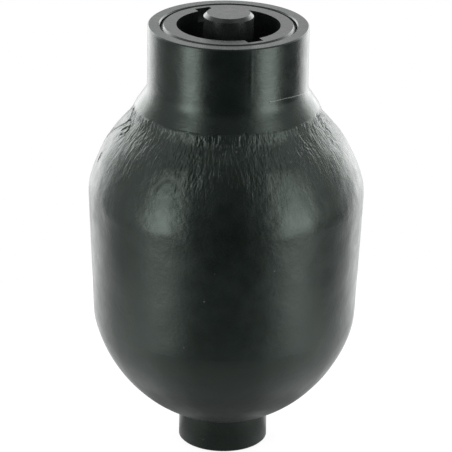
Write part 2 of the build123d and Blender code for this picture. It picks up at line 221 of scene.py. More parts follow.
# ---- turned meshes ----
class Lathe:
    """A closed mesh of revolution, made of rings that may have different numbers of points."""

    def __init__(self):
        self.points = []
        self.faces = []
        self.rings = []
        self.sharp = []

    def ring(self, radius, z, count, corner=False):
        """Adds one ring. radius and z are numbers or arrays of count values, in millimetres."""
        angle = np.arange(count) * 2 * math.pi / count
        radius = np.broadcast_to(radius, count)
        z = np.broadcast_to(z, count)
        start = sum(len(p) for p in self.points)
        self.points.append(np.stack([radius * np.sin(angle), -radius * np.cos(angle), z], 1) * MM)
        self.rings.append((start, count))
        self.sharp.append(corner)
        if len(self.rings) > 1:
            self.bridge(self.rings[-2], self.rings[-1])

    def bridge(self, low, high):
        """Faces between two rings, where one count is a whole multiple of the other."""
        (s0, n0), (s1, n1) = low, high
        if n0 == n1:
            for i in range(n0):
                k = (i + 1) % n0
                self.faces.append((s0 + i, s0 + k, s1 + k, s1 + i))
            return
        few, many = min(n0, n1), max(n0, n1)
        ratio = many // few
        for i in range(few):
            wide = [(i * ratio + k) % many for k in range(ratio + 1)]
            pair = [i, (i + 1) % few]
            if n0 < n1:
                face = [s0 + k for k in pair] + [s1 + k for k in reversed(wide)]
            else:
                face = [s0 + k for k in wide] + [s1 + k for k in reversed(pair)]
            middle = face[0]
            for a, b in zip(face[1:], face[2:]):
                self.faces.append((middle, a, b))

    def closed(self):
        """Joins the last ring to the first, for a section that runs round to its start."""
        self.bridge(self.rings[-1], self.rings[0])

    def capped(self, ring, z, outward_last=True):
        """Closes a ring with a point on the axis."""
        start, count = self.rings[ring]
        centre = sum(len(p) for p in self.points)
        self.points.append(np.array([[0, 0, z]]) * MM)
        for i in range(count):
            k = (i + 1) % count
            face = (start + i, start + k, centre) if outward_last else (start + k, start + i, centre)
            self.faces.append(face)

    def piece(self, name):
        """The Blender object, smooth but for its corners."""
        mesh = bpy.data.meshes.new(name)
        mesh.from_pydata(np.vstack(self.points).tolist(), [], self.faces)
        mesh.validate()
        mesh.shade_smooth()
        ring_of = np.full(len(mesh.vertices), -1)
        for index, (start, count) in enumerate(self.rings):
            if self.sharp[index]:
                ring_of[start:start + count] = index
        ends = np.zeros(len(mesh.edges) * 2, int)
        mesh.edges.foreach_get("vertices", ends)
        ends = ring_of[ends.reshape(-1, 2)]
        flags = (ends[:, 0] >= 0) & (ends[:, 0] == ends[:, 1])
        sharp = mesh.attributes.new("sharp_edge", "BOOLEAN", "EDGE")
        sharp.data.foreach_set("value", flags)
        thing = bpy.data.objects.new(name, mesh)
        bpy.context.scene.collection.objects.link(thing)
        return thing


# ---- node materials ----
class Nodes:
    """Short calls that add nodes to one tree."""

    def __init__(self, tree):
        self.tree = tree

    def node(self, kind, **settings):
        made = self.tree.nodes.new(kind)
        for key, value in settings.items():
            setattr(made, key, value)
        return made

    def link(self, source, target):
        self.tree.links.new(source, target)

    def spread(self, value, low, high, out_low=0.0, out_high=1.0, smooth=False):
        made = self.node("ShaderNodeMapRange")
        made.interpolation_type = "SMOOTHSTEP" if smooth else "LINEAR"
        for key, number in zip(("From Min", "From Max", "To Min", "To Max"), (low, high, out_low, out_high)):
            made.inputs[key].default_value = number
        self.link(value, made.inputs["Value"])
        return made.outputs["Result"]

    def maths(self, operation, first, second=None):
        made = self.node("ShaderNodeMath", operation=operation)
        for socket, value in zip(made.inputs, (first, second)):
            if isinstance(value, (int, float)):
                socket.default_value = value
            elif value is not None:
                self.link(value, socket)
        return made.outputs["Value"]

    def vector(self, operation, first, second=None):
        made = self.node("ShaderNodeVectorMath", operation=operation)
        self.link(first, made.inputs[0])
        if isinstance(second, tuple):
            made.inputs[1].default_value = second
        elif second is not None:
            self.link(second, made.inputs[1])
        return made.outputs["Value" if operation == "LENGTH" else "Vector"]

    def level(self, value, stops, ease=False):
        """A number looked up on a ramp of (place from 0 to 1, level) stops, in rising order."""
        ramp = self.node("ShaderNodeValToRGB")
        ramp.color_ramp.interpolation = "EASE" if ease else "LINEAR"
        elements = ramp.color_ramp.elements
        for index, (place, grey) in enumerate((stops[0], stops[-1], *stops[1:-1])):
            stop = elements[index] if index < 2 else elements.new(place)
            stop.position = place
            stop.color = (grey, grey, grey, 1)
        self.link(value, ramp.inputs["Fac"])
        return ramp.outputs["Color"]


class Paint(Nodes):
    """A Principled material, with short calls for its nodes."""

    def __init__(self, name):
        self.material = bpy.data.materials.new(name)
        self.material.use_nodes = True
        super().__init__(self.material.node_tree)
        self.shader = self.tree.nodes["Principled BSDF"]
        self.place = self.node("ShaderNodeTexCoord").outputs["Object"]

    def noise(self, scale, detail=3.0, rough=0.5, place=None, distort=0.0):
        made = self.node("ShaderNodeTexNoise")
        made.inputs["Scale"].default_value = scale
        made.inputs["Detail"].default_value = detail
        made.inputs["Roughness"].default_value = rough
        made.inputs["Distortion"].default_value = distort
        self.link(place or self.place, made.inputs["Vector"])
        return made.outputs["Fac"]

    def rings(self, scale, along, detail=None):
        """Noise along one number only, such as the height, which makes rings round the axis."""
        made = self.node("ShaderNodeTexNoise", noise_dimensions="1D")
        made.inputs["Scale"].default_value = scale
        if detail is not None:
            made.inputs["Detail"].default_value = detail
        self.link(along, made.inputs["W"])
        return made.outputs["Fac"]

    def mix(self, factor, low, high):
        made = self.node("ShaderNodeMix", data_type="RGBA")
        self.link(factor, made.inputs["Factor"])
        for socket, value in ((made.inputs["A"], low), (made.inputs["B"], high)):
            if isinstance(value, tuple):
                socket.default_value = (*value, 1.0)
            else:
                self.link(value, socket)
        return made.outputs["Result"]

    def bump(self, height, distance, strength=1.0, under=None):
        made = self.node("ShaderNodeBump")
        made.inputs["Strength"].default_value = strength
        made.inputs["Distance"].default_value = distance
        self.link(height, made.inputs["Height"])
        if under is not None:
            self.link(under, made.inputs["Normal"])
        return made.outputs["Normal"]

    def set(self, **values):
        for key, value in values.items():
            self.shader.inputs[key.replace("_", " ")].default_value = value

    def finish(self, colour=None, roughness=None, normal=None):
        for key, source in (("Base Color", colour), ("Roughness", roughness), ("Normal", normal)):
            if source is not None:
                self.link(source, self.shader.inputs[key])
        return self.material

    def round_place(self, radius, along):
        """The place laid on a drum of that radius, with its height scaled by along."""
        unit = self.vector("NORMALIZE", self.vector("MULTIPLY", self.place, (1, 1, 0)))
        drum = self.vector("MULTIPLY", unit, (radius, radius, radius))
        return self.vector("ADD", drum, self.vector("MULTIPLY", self.place, (0, 0, along)))

    def axial(self):
        """The height above the port face."""
        split = self.node("ShaderNodeSeparateXYZ")
        self.link(self.place, split.inputs["Vector"])
        return split.outputs["Z"]

    def radial(self):
        """The distance from the vessel's axis."""
        return self.vector("LENGTH", self.vector("MULTIPLY", self.place, (1, 1, 0)))


# ---- finishes: colours are linear, heights and depths are in millimetres ----
ENAMEL_COLOURS = ((0.0022, 0.0042, 0.0034), (0.0044, 0.0072, 0.0061))
ENAMEL_TINT = (0.84, 1.0, 0.90, 1.0)
STEEL_TINT = (0.92, 1.0, 0.955, 1.0)
SPECK_COLOUR = (0.055, 0.056, 0.052)
SPECK_SCALE = 240
SPECK_CHANCE = 0.965
SPECK_EDGE = (0.05, 0.12)
# painted sheen: the pale film on the dome just above the port stands in for light caught there
PAINTED_SHEEN_COLOUR = (0.060, 0.066, 0.063)
PAINTED_SHEEN_RISE = (11.0, 0.5)
PAINTED_SHEEN_FOOT = (-0.1, 0.4)
PAINTED_SHEEN_PATCHES = (0.8, 1.0)
CAST_FOOT = (0.2, 1.2)
LIP_BLEND = 0.4
ROLLED_Z = (96.0, 122.0)
CREASED_Z = (122.0, 145.0)
UNDERNEATH_Z = (42.0, 17.0)
UNDERNEATH_DULL = 0.10
CAST_DULL = (0.03, 0.09)
ENAMEL_GLOSS = (0.23, 0.31)
STREAK_DRUM_R = 43.0
LATHE_BUMP = 0.016
BRUSHED_BUMP = 0.075
RIM_BUMP = 0.05
PEEL_BUMP = 0.06
CAST_BUMP = 0.035
ROLLED_BUMP = 0.04
STREAK_BUMP = 0.25


def in_metres(heights):
    """A pair of heights in millimetres, turned into metres."""
    return [height * MM for height in heights]


def above_port(rises):
    """A pair of heights above the dome's foot in millimetres, as places in metres."""
    return in_metres(PORT[1] + rise for rise in rises)


def enamel_colour(paint, z, colours):
    """The paint's tone, with specks of dust, and a patchy pale film painted on the dome just above the port:
    a painted sheen that stands in for light caught there.
    """
    colour = paint.mix(paint.spread(paint.noise(45, 4, 0.6), 0.35, 0.65), *colours)
    specks = paint.node("ShaderNodeTexVoronoi")
    specks.inputs["Scale"].default_value = SPECK_SCALE
    paint.link(paint.place, specks.inputs["Vector"])
    chance = paint.node("ShaderNodeSeparateColor")
    paint.link(specks.outputs["Color"], chance.inputs["Color"])
    chosen = paint.maths("GREATER_THAN", chance.outputs["Red"], SPECK_CHANCE)
    near = paint.spread(specks.outputs["Distance"], *SPECK_EDGE, 1.0, 0.0)
    colour = paint.mix(paint.maths("MULTIPLY", chosen, near), colour, SPECK_COLOUR)
    # painted sheen: a patchy pale film lightens the dome just above the port in place of light caught there
    fading = paint.spread(z, *above_port(PAINTED_SHEEN_RISE), smooth=True)
    patchy = paint.spread(paint.noise(90, 3), 0.3, 0.7, *PAINTED_SHEEN_PATCHES)
    on_dome = paint.spread(z, *above_port(PAINTED_SHEEN_FOOT), smooth=True)
    painted_sheen = paint.maths("MULTIPLY", paint.maths("MULTIPLY", fading, patchy), on_dome)
    return paint.mix(painted_sheen, colour, PAINTED_SHEEN_COLOUR)


def enamel_gloss(paint, z, cast):
    """The paint's roughness: duller on the cast skin, and most of all underneath."""
    gloss = paint.spread(paint.noise(160, 4), 0.3, 0.7, *ENAMEL_GLOSS)
    duller = paint.spread(paint.noise(60, 3), 0.3, 0.7, *CAST_DULL)
    underneath = paint.spread(z, *in_metres(UNDERNEATH_Z), 0.0, UNDERNEATH_DULL, smooth=True)
    return paint.maths("ADD", gloss, paint.maths("MULTIPLY", paint.maths("ADD", duller, underneath), cast))


def enamel_relief(paint, z, forged, cast):
    """The paint's fine relief: tool marks on the turned neck, grain, dents and streaks on the forging."""
    turned = paint.maths("SUBTRACT", 1.0, forged)
    rolled = paint.maths("MULTIPLY", paint.spread(z, *in_metres(ROLLED_Z), smooth=True), forged)
    creased = paint.maths("MULTIPLY", paint.spread(z, *in_metres(CREASED_Z), smooth=True), forged)
    top_face = paint.spread(z, HEIGHT - 0.4 * MM, HEIGHT - 0.1 * MM)
    brushed = paint.noise(260, 3, 0.6, paint.round_place(FLARE_TOP[0] * MM, 3.2), 0.4)
    brushed = paint.maths("MULTIPLY", brushed, paint.spread(paint.noise(70, 2), 0.35, 0.6, 0.3, 1.0))
    grain = paint.noise(620, 2, 0.55)
    streaks = paint.noise(1000, 2, 0.55, paint.round_place(STREAK_DRUM_R * MM, 0.25), 0.6)
    dents = paint.noise(420, 2, 0.5, distort=0.8)
    normal = None
    for height, where, depth in (
        (paint.rings(1900, z, detail=3), turned, LATHE_BUMP),
        (brushed, turned, BRUSHED_BUMP),
        (paint.rings(3200, paint.radial()), top_face, RIM_BUMP),
        (paint.noise(240, 2, 0.5), None, PEEL_BUMP),
        (grain, cast, CAST_BUMP),
        (grain, rolled, ROLLED_BUMP),
        (dents, rolled, ROLLED_BUMP),
        (streaks, creased, STREAK_BUMP),
    ):
        if where is not None:
            height = paint.maths("MULTIPLY", height, where)
        normal = paint.bump(height, depth * MM, under=normal)
    return normal


def enamel(name="vessel_enamel", colours=ENAMEL_COLOURS):
    """Semi-gloss green-black paint over the forging and the turned neck."""
    paint = Paint(name)
    paint.shader.inputs["Specular Tint"].default_value = ENAMEL_TINT
    z = paint.axial()
    forged = paint.spread(z, (LIP[1] + LIP_BLEND) * MM, (LIP[1] - LIP_BLEND) * MM)
    cast = paint.maths("MULTIPLY", forged, paint.spread(z, *above_port(CAST_FOOT), smooth=True))
    colour = enamel_colour(paint, z, colours)
    gloss = enamel_gloss(paint, z, cast)
    return paint.finish(colour, gloss, enamel_relief(paint, z, forged, cast))


def turned_metal(name, dark, light, rough, metallic=0.0, grooves=6000, depth=0.006):
    """A turned surface: faint rings round the axis, and a little unevenness in tone and gloss."""
    gloss_swing = 0.05
    grain_depth = 0.01
    paint = Paint(name)
    paint.set(Metallic=metallic)
    if not metallic:
        paint.shader.inputs["Specular Tint"].default_value = STEEL_TINT
    colour = paint.mix(paint.spread(paint.noise(220, 4, 0.6), 0.3, 0.7), dark, light)
    tool = paint.rings(grooves, paint.maths("ADD", paint.radial(), paint.axial()), detail=2)
    gloss = paint.spread(paint.noise(500, 3), 0.3, 0.7, rough - gloss_swing, rough + gloss_swing)
    normal = paint.bump(tool, depth * MM)
    normal = paint.bump(paint.noise(1500, 2), grain_depth * MM, under=normal)
    return paint.finish(colour, gloss, normal)


def rubber(name, dark, light, rough):
    """Moulded rubber or plastic: matt, with a fine grain and a faint bloom."""
    smoother = 0.08
    rougher = 0.06
    grain_depth = 0.02
    paint = Paint(name)
    paint.set(Specular_IOR_Level=0.4)
    colour = paint.mix(paint.spread(paint.noise(60, 5, 0.65), 0.35, 0.7), dark, light)
    gloss = paint.spread(paint.noise(300, 3), 0.3, 0.7, rough - smoother, rough + rougher)
    normal = paint.bump(paint.noise(1800, 3), grain_depth * MM)
    return paint.finish(colour, gloss, normal)


def dressed(node, material):
    """Gives a CAD node its material."""
    thing = frame["nodes"][node]
    thing.data.materials.clear()
    thing.data.materials.append(material)


# ---- the vessel ----
FLARE_SLOPE = (FLARE_TOP[0] - LIP[0]) / (FLARE_TOP[1] - LIP[1])


def outer_runs():
    """The outside in two runs: port edge to forged lip, and machined lip to the neck's rim."""
    port_side = straight((PORT[0], PORT_EDGE), PORT)
    dome = arc(PORT, KNUCKLE, DOME_RADIUS)
    side = straight(KNUCKLE, BELLY)
    shoulder = arc(BELLY, SHOULDER_END, SHOULDER_RADIUS)
    cone = straight(SHOULDER_END, WAIST)
    waist = straight(WAIST, (LIP[0] + LIP_STEP, LIP[1]))
    body = fillet(port_side, dome, PORT_ROOT_R)
    body = fillet(body, side, DOME_TO_SIDE_R)
    body = fillet(body, shoulder, SIDE_TO_SHOULDER_R)
    body = fillet(body, cone, SHOULDER_TO_CONE_R)
    body = fillet(body, waist, CONE_TO_LIP_R)
    flare = straight(LIP, FLARE_TOP)
    wall = straight(FLARE_TOP, (FLARE_TOP[0], HEIGHT / MM - NECK_EDGE))
    return body, fillet(flare, wall, FLARE_TO_NECK_R)


def eased(value):
    """A smooth step from 0 to 1."""
    value = min(1.0, max(0.0, value))
    return value * value * (3 - 2 * value)


def bell(offset, width):
    """A bell curve: 1 at no offset, and 1/e at one width."""
    return math.exp(-((offset / width) ** 2))


def waves(place, around, along, shift=(0.0, 0.0, 0.0)):
    """Smooth noise at a place (unit x, unit y, height), with its scale round the vessel and along it."""
    x, y, z = place
    return noise.noise((x * around + shift[0], y * around + shift[1], z * along + shift[2]))


def place_at(angle, z=0.0):
    """The place that waves takes, for an angle from the front and a height."""
    return math.sin(angle), -math.cos(angle), z


def bearing_at(angle):
    """An angle from the front as degrees between -180 and 180."""
    return math.degrees((angle + math.pi) % (2 * math.pi) - math.pi)


def near_line(bearing, z, radius, line):
    """The distance in millimetres from a place on the skin to a line of (degrees, height) points."""
    best = 1e9
    for (a0, z0), (a1, z1) in zip(line, line[1:]):
        x, y = math.radians(bearing - a0) * radius, z - z0
        dx, dy = math.radians(a1 - a0) * radius, z1 - z0
        share = min(1.0, max(0.0, (x * dx + y * dy) / (dx * dx + dy * dy)))
        best = min(best, math.hypot(x - share * dx, y - share * dy))
    return best


# ---- the forging's skin: (degrees from the front, height in millimetres), and sizes in millimetres ----
SKIN_LEVEL = -0.17
SWELL = 0.17
HAMMERED = 0.085
RIPPLE = 0.035
ROUGH_FROM_Z = 17.0
ROUGH_RISE = 14.0
ROLLED_FROM_Z = ROLLED_Z[0]
ROLLED_RISE = ROLLED_Z[1] - ROLLED_Z[0]
# wrinkles hang down from the lip, and reach further at the front
FRONT_BEARING = -4.0
FRONT_WIDTH = 30.0
WRINKLE_REACH = 15.0
FRONT_REACH = 9.0
REACH_WANDER = 6.0
FOLD_DEPTH = 0.88
FINE_FOLD_DEPTH = 0.75
# a whorl left of the front
WHORL = (-25.0, 135.0)
WHORL_WIDTH = 11.0
WHORL_RISE = 7.0
WHORL_DEPTH = 0.06
# laps, where the forging folded over itself, with a raised edge beside each
LAPS = (
    (
        (-85.7, 154.2),
        (-82.7, 152.1),
        (-80.0, 149.0),
        (-81.5, 147.0),
        (-85.0, 145.2),
        (-90.5, 142.0),
        (-92.5, 138.5),
    ),
    ((-80.0, 149.0), (-77.0, 149.9), (-73.5, 149.2), (-71.0, 147.3), (-72.3, 145.3), (-75.4, 144.3)),
    ((-74.8, 147.6), (-77.9, 145.6)),
    ((-94.0, 141.5), (-96.5, 137.0), (-97.5, 132.0)),
    ((-83.5, 133.4), (-83.0, 130.4)),
)
LAP_DEPTH = 0.46
LAP_WIDTH = 0.30
LAP_EDGE = 0.18
LAP_EDGE_AT = 0.8
LAP_EDGE_WIDTH = 0.4
LAP_REACH = 1.6
# pits and pimples: degrees, height, size, and how far they stand out
PITS = (
    (-19.6, 127.9, 0.9, -0.20),
    (-31.0, 121.0, 0.9, -0.14),
    (-24.0, 104.0, 0.7, -0.10),
    (1.8, 121.3, 0.8, 0.13),
    (-1.1, 125.3, 0.6, 0.09),
    (4.2, 117.7, 0.6, 0.09),
    (5.9, 123.3, 0.5, 0.08),
    (-6.1, 141.8, 0.8, 0.12),
)
PIT_REACH = 3
FURROWS = (
    ((-26.8, 151.7), (-26.5, 147.8)),
    ((-17.5, 140.5), (-16.8, 136.0)),
    ((-9.9, 137.2), (-9.0, 133.0)),
    ((24.0, 129.0), (24.6, 125.0)),
    ((26.4, 127.5), (26.9, 122.5)),
    ((28.4, 126.0), (28.8, 121.8)),
    ((42.1, 127.1), (44.1, 126.2), (45.8, 124.2)),
)
FURROW_DEPTH = 0.07
FURROW_WIDTH = 0.5
FURROW_REACH = 2
MARKS_FROM_Z = 100.0
MARKS_BEARING = 105
# the forging's lip, where its skin dips to the turned flare
LIP_SUNK = 0.36
LIP_SUNK_REACH = 1.6
WANDER_BELOW = 3.5
WANDER_ABOVE = 2.5
# the run of paint down the neck
RUN_BEARING = 16.3
RUN_WIDTH = 0.55
RUN_HEIGHT = 0.07
RUN_FROM_Z = 168.0
RUN_FADE = 3.0


def wrinkles(place, bearing):
    """How deep the wrinkles under the lip are: broad folds and finer ones among them."""
    front = bell(bearing - FRONT_BEARING, FRONT_WIDTH)
    wander = waves(place, 3.7, 0.0, (3.0, 0.0, 0.5))
    reach = WRINKLE_REACH + FRONT_REACH * front + REACH_WANDER * wander
    strength = eased(1.15 - (LIP[1] - place[2]) / reach)
    if strength <= 0:
        return 0.0
    along = 0.30 - 0.14 * front
    warp = 1.3 * waves(place, 7.0, 0.2)
    slip = 1.2 * waves(place, 6.0, 0.15, (5.0, 0.0, 0.0))
    fold = abs(waves(place, 24.0, along, (warp, warp, slip)))
    fine = abs(waves(place, 44.0, 1.7 * along, (2 * warp, 0.0, 4.0 + slip)))
    patch = 0.8 + 0.9 * waves(place, 6.0, 0.12, (0.0, 9.0, 0.0))
    depth = FOLD_DEPTH * (0.5 - fold) ** 2 + FINE_FOLD_DEPTH * (0.5 - fine) ** 2
    return strength * max(0.3, patch) * depth


def whorl(place, bearing):
    """How far the whorl's rings stand off the skin."""
    strength = bell(bearing - WHORL[0], WHORL_WIDTH) * bell(place[2] - WHORL[1], WHORL_RISE)
    if strength <= 0.05:
        return 0.0
    return WHORL_DEPTH * strength * math.sin(16.0 * waves(place, 5.0, 0.09, (0.0, 2.0, 0.0)))


def marks(bearing, z, radius):
    """How far the laps, furrows and pits stand off the skin."""
    height = 0.0
    for line in LAPS:
        gap = near_line(bearing, z, radius, line)
        if gap < LAP_REACH:
            height -= LAP_DEPTH * bell(gap, LAP_WIDTH) - LAP_EDGE * bell(gap - LAP_EDGE_AT, LAP_EDGE_WIDTH)
    for line in FURROWS:
        gap = near_line(bearing, z, radius, line)
        if gap < FURROW_REACH:
            height -= FURROW_DEPTH * bell(gap, FURROW_WIDTH)
    for degrees, level, size, depth in PITS:
        gap = near_line(bearing, z, radius, ((degrees, level), (degrees, level + 0.01)))
        if gap < PIT_REACH:
            height += depth * bell(gap, 0.6 * size)
    return height


def skin(angle, z, radius):
    """How far the forging's skin stands off its outline, in millimetres."""
    place = place_at(angle, z)
    bearing = bearing_at(angle)
    broad = waves(place, 2.3, 0.035, (0.0, 0.0, 7.3)) + 0.6 * waves(place, 5.5, 0.09)
    hammered = waves(place, 9.0, 0.17, (4.0, 0.0, 0.0)) + 0.6 * waves(place, 17.0, 0.33)
    rolled = eased((z - ROLLED_FROM_Z) / ROLLED_RISE)
    height = SKIN_LEVEL + SWELL * broad
    height += HAMMERED * rolled * hammered + RIPPLE * waves(place, 6.5, 0.11, (0.0, 3.0, 0.0))
    height += whorl(place, bearing) - wrinkles(place, bearing)
    if z > MARKS_FROM_Z and abs(bearing) < MARKS_BEARING:
        height += marks(bearing, z, radius)
    return height


def lip_wander(angle):
    """How far the edge between the forging and the turned flare climbs, in millimetres."""
    place = place_at(angle)
    broad = 0.7 * waves(place, 4.0, 0.0, (0.0, 0.0, 2.2)) + 1.1 * waves(place, 13.0, 0.0, (0.0, 0.0, 5.1))
    return broad + 0.55 * waves(place, 32.0, 0.0, (0.0, 0.0, 1.3))


def neck_mark(angle, z):
    """The faint run of paint down the neck, in millimetres."""
    across = math.radians(bearing_at(angle) - RUN_BEARING) * FLARE_TOP[0]
    return RUN_HEIGHT * bell(across, RUN_WIDTH) * eased((z - RUN_FROM_Z) / RUN_FADE)


def angles_of(count):
    """The angles of a ring's points."""
    return np.arange(count) * 2 * math.pi / count


def body_rings(lathe, body):
    """The forging, from the port's edge to its lip, with its skin and its wandering edge."""
    ahead = headings(body)
    tops = [top for top, _, _ in BODY_BANDS[:-1]]
    runs = np.split(body, [int(np.argmax(body[:, 1] > top)) for top in tops])
    rows = []
    for run, (_, spacing, count) in zip(runs, BODY_BANDS):
        rows += [(point, count) for point in resampled(run, spacing)]
    for index, (point, count) in enumerate(rows):
        near = int(np.argmin(np.abs(body - point).sum(1)))
        out_r, out_z = ahead[near][1], -ahead[near][0]
        rough = eased((point[1] - ROUGH_FROM_Z) / ROUGH_RISE)
        angles = angles_of(count)
        lift = np.zeros(count)
        if rough > 0:
            lift = rough * np.array([skin(a, point[1], point[0]) for a in angles])
        below = LIP[1] - point[1]
        sunk = eased(1 - below / LIP_SUNK_REACH)
        lift = lift * (1 - sunk) - LIP_SUNK * sunk
        edge = eased(1 - below / WANDER_BELOW) * np.array([lip_wander(a) for a in angles])
        radius = point[0] + lift * out_r + edge * FLARE_SLOPE
        lathe.ring(radius, point[1] + lift * out_z + edge, count, corner=index in (0, len(rows) - 1))


def neck_rings(lathe, neck):
    """The turned flare and neck, up to the rim's chamfer."""
    straight_from = int(np.argmax(neck[:, 1] > FLARE_TOP[1] + 4.0))
    flare = resampled(neck[:straight_from], FLARE_ROWS)
    wall = resampled(neck[straight_from:], NECK_ROWS)
    angles = angles_of(AROUND)
    edge = np.array([lip_wander(a) for a in angles])
    for index, point in enumerate(np.vstack([flare, wall[1:-1]])):
        shift = eased(1 - (point[1] - LIP[1]) / WANDER_ABOVE) * edge
        run = np.array([neck_mark(a, point[1]) for a in angles])
        lathe.ring(point[0] + shift * FLARE_SLOPE + run, point[1] + shift, AROUND, corner=index == 0)


def mouth_rings(lathe):
    """The rim, the mouth with its thread left smooth, the plug's bore, the ledge and the throat."""
    rim_r, top = FLARE_TOP[0], HEIGHT / MM
    for r, z in (
        (rim_r, top - NECK_EDGE),
        (rim_r - NECK_EDGE, top),
        (MOUTH_THREAD_R + MOUTH_CHAMFER, top),
        (MOUTH_THREAD_R, top - MOUTH_CHAMFER),
        (MOUTH_THREAD_R, MOUTH_THREAD_Z),
        (PLUG_BORE_R, MOUTH_THREAD_Z),
        (PLUG_BORE_R, LEDGE_Z),
        (THROAT_R, LEDGE_Z),
        (THROAT_R, CEILING_Z + 2),
    ):
        lathe.ring(r, z, AROUND, corner=True)


def port_rings(lathe):
    """The oil passage, the drilled end over it and the port's thread."""
    drill_rise = (THREAD_MINOR_R - PASSAGE_R) * 0.6
    lathe.ring(PASSAGE_R, SEAT_Z, INNER_AROUND, corner=True)
    lathe.ring(PASSAGE_R, THREAD_HIGH_Z + drill_rise, INNER_AROUND, corner=True)
    lathe.ring(THREAD_MINOR_R, THREAD_HIGH_Z, INNER_AROUND, corner=True)
    for z in np.arange(THREAD_HIGH_Z - 0.2, THREAD_LOW_Z + 0.1, -THREAD_ROWS):
        lathe.ring(thread_radius(z, INNER_AROUND), z, INNER_AROUND)
    lathe.ring(THREAD_MINOR_R, THREAD_LOW_Z, INNER_AROUND, corner=True)
    lathe.ring(THREAD_MINOR_R + THREAD_LOW_Z, 0, INNER_AROUND, corner=True)


def make_vessel():
    """One closed mesh: rough forging outside, turned neck and mouth, cavity, seat, port and its thread."""
    body, neck = outer_runs()
    lathe = Lathe()
    lathe.ring(PORT[0] - PORT_EDGE, 0, AROUND, corner=True)
    body_rings(lathe, body)
    neck_rings(lathe, neck)
    mouth_rings(lathe)
    for radius, z in cavity_run():
        lathe.ring(radius, z, INNER_AROUND)
    port_rings(lathe)
    lathe.closed()
    return lathe.piece("vessel")


def cavity_run():
    """The cavity's wall, from under the throat down to the seat."""
    centre = dome_centre()
    inner = DOME_RADIUS - WALL
    low = (centre[0] + math.sqrt(inner**2 - (centre[1] - SEAT_Z) ** 2), SEAT_Z)
    side_r = BELLY[0] - WALL
    knuckle = (KNUCKLE[0] - WALL + 0.3, KNUCKLE[1] + 1.0)
    shoulder_low = (side_r, BELLY[1] - 2.0)
    slope = (SHOULDER_END[0] - WAIST[0]) / (WAIST[1] - SHOULDER_END[1])
    lean = math.hypot(1, slope)
    shoulder_high = (SHOULDER_END[0] - WALL / lean, SHOULDER_END[1] - WALL * slope / lean)
    cone_r = shoulder_high[0] - (CEILING_Z - shoulder_high[1]) * slope
    cone = straight(shoulder_high, (cone_r, CEILING_Z))
    ceiling = straight((cone_r, CEILING_Z), (THROAT_R + 2, CEILING_Z))
    floor = straight((PASSAGE_R + 1, SEAT_Z), low)
    up = fillet(floor, arc(low, knuckle, inner), SEAT_FILLET_R)
    shoulder = arc(shoulder_low, shoulder_high, SHOULDER_RADIUS - WALL)
    up = np.vstack([up, straight(knuckle, shoulder_low), shoulder, fillet(cone, ceiling, CEILING_FILLET_R)])
    return resampled(up, CAVITY_ROWS)[::-1]


def thread_radius(z, count):
    """The port thread's radius at one height, as one turn of a helix, fading out at its ends."""
    flank = 1.35
    root_flat = 0.175
    top_fade = 1.6
    low_fade = 0.6
    angle = np.arange(count) / count
    phase = (z / THREAD_PITCH + angle) % 1.0
    tooth = np.clip(flank * np.abs(2 * phase - 1) - root_flat, 0, 1)
    ends = min(1.0, (THREAD_HIGH_Z - z) / top_fade, (z - THREAD_LOW_Z) / low_fade)
    return THREAD_MINOR_R + (THREAD_MAJOR_R - THREAD_MINOR_R) * tooth * max(0.0, ends)


# the raised thread of paint: its path as (degrees, height), and its size in millimetres
THREAD_PATH = ((30.7, 166.0), (44.5, 165.9), (56.8, 165.1), (72.0, 163.6), (88.6, 161.6))
PAINT_THREAD_RINGS = 61
PAINT_THREAD_SIDES = 10
PAINT_THREAD_R = 0.15
PAINT_THREAD_TAPER = 0.07
PAINT_THREAD_FLATNESS = 0.8
BEAD_R = 0.20
BEAD_LENGTH = 0.022


def make_paint_thread():
    """A fine raised thread of paint that lies aslant across the neck and flare, with a bead at its end."""
    neck = outer_runs()[1]
    path = THREAD_PATH
    rings = []
    for share in np.linspace(0, 1, PAINT_THREAD_RINGS):
        place = share * (len(path) - 1)
        i = min(int(place), len(path) - 2)
        (a0, z0), (a1, z1) = path[i], path[i + 1]
        angle = math.radians(a0 + (a1 - a0) * (place - i))
        z = z0 + (z1 - z0) * (place - i)
        radius = float(np.interp(z, neck[:, 1], neck[:, 0]))
        size = PAINT_THREAD_R + BEAD_R * bell(share, BEAD_LENGTH) - PAINT_THREAD_TAPER * share
        rings.append((Vector((radius * math.sin(angle), -radius * math.cos(angle), z)), angle, size))
    points, faces = [], []
    sides = PAINT_THREAD_SIDES
    for index, (centre, angle, size) in enumerate(rings):
        out = Vector((math.sin(angle), -math.cos(angle), 0))
        before, after = rings[max(0, index - 1)][0], rings[min(len(rings) - 1, index + 1)][0]
        across = out.cross((after - before).normalized()).normalized()
        for k in range(sides):
            turn = 2 * math.pi * k / sides
            aside = across * math.cos(turn) + out * math.sin(turn) * PAINT_THREAD_FLATNESS
            points.append((centre + aside * size) * MM)
    for index in range(len(rings) - 1):
        for k in range(sides):
            a, b = index * sides + k, index * sides + (k + 1) % sides
            faces.append((a, b, b + sides, a + sides))
    faces.append(tuple(reversed(range(sides))))
    faces.append(tuple(range(len(points) - sides, len(points))))
    mesh = bpy.data.meshes.new("paint_thread")
    mesh.from_pydata(points, [], faces)
    mesh.shade_smooth()
    thing = bpy.data.objects.new("paint_thread", mesh)
    bpy.context.scene.collection.objects.link(thing)
    return thing


vessel = make_vessel()
vessel.data.materials.append(enamel())
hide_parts("shell")
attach(vessel, "vessel")

paint_thread = make_paint_thread()
# the thread's pale colour is partly its own and partly painted highlight, standing in for the glint along
# the raised thread
paint_thread.data.materials.append(enamel("pale_thread_and_painted_glint", ((0.11, 0.12, 0.11), (0.19, 0.20, 0.19))))
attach(paint_thread, "vessel")

